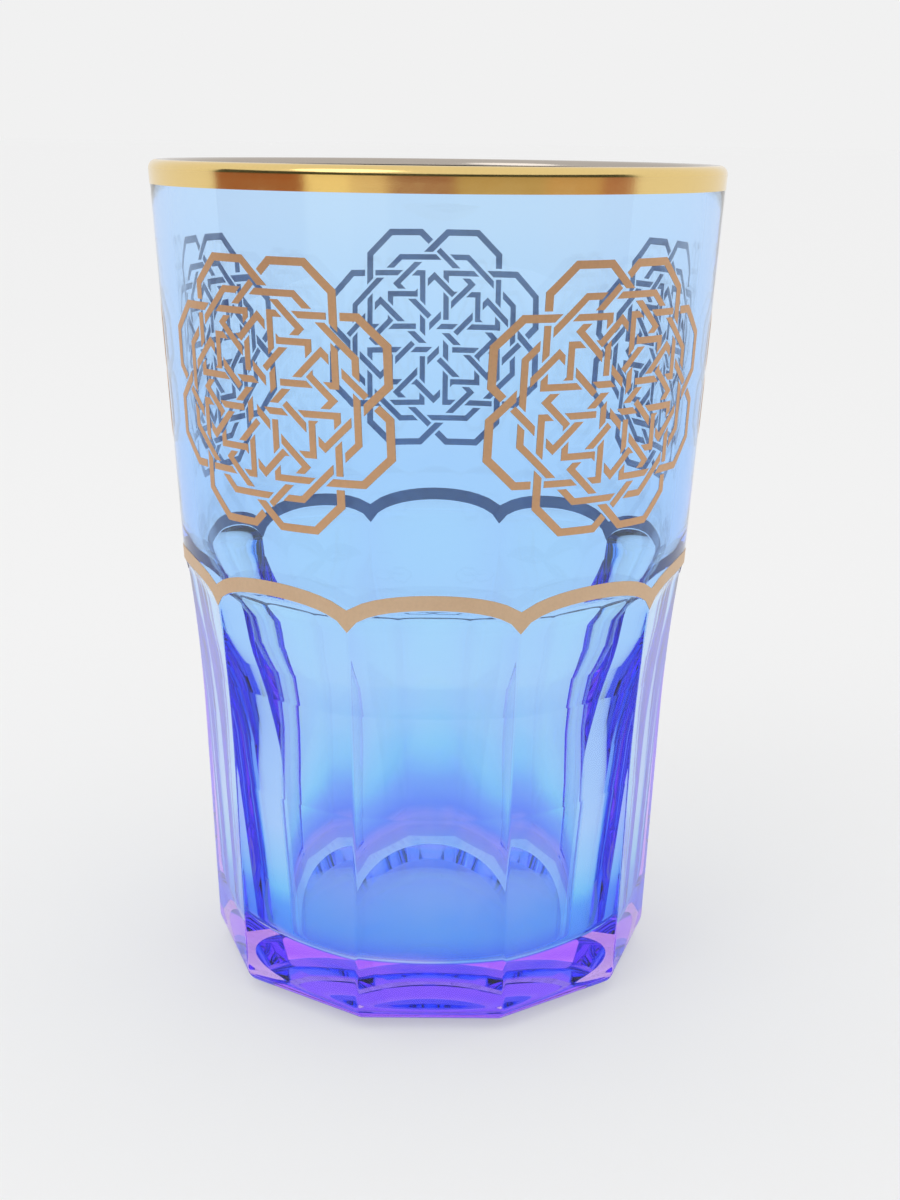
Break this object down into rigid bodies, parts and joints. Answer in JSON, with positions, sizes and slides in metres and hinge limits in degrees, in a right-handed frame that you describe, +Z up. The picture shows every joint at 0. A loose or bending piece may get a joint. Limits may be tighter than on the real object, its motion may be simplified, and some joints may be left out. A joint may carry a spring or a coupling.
{
  "type": "tea glass",
  "caption": "Tall pressed tea glass with flat panels below, a flared wall above, a blue bore, and gilding as a rim band, a scalloped line and interlaced star medallions.",
  "frame": {"origin": "centre of the foot ring, on the table", "axes": "+Z up along the axis of the glass, out of its mouth; -Y towards the middle of panel 1 and the viewer; +X to the viewer's right"},
  "size_m": [0.0836, 0.0836, 0.1226],
  "materials": {
    "glass": "clear, fire polished",
    "blue_colour": "translucent fired colour, denser towards the floor",
    "rim_gilding": "bright fired gilding",
    "line_gilding": "soft fired gilding",
    "medallion_gilding": "soft fired gilding"
  },
  "bodies": {
    "root": {"glass_body": "glass", "colour_coat": "blue_colour", "gilt_rim_band": "rim_gilding", "gilt_scallop_line": "line_gilding", "gilt_medallion_1": "medallion_gilding", "gilt_medallion_2": "medallion_gilding", "gilt_medallion_3": "medallion_gilding", "gilt_medallion_4": "medallion_gilding", "gilt_medallion_5": "medallion_gilding"}
  },
  "joints": []
}
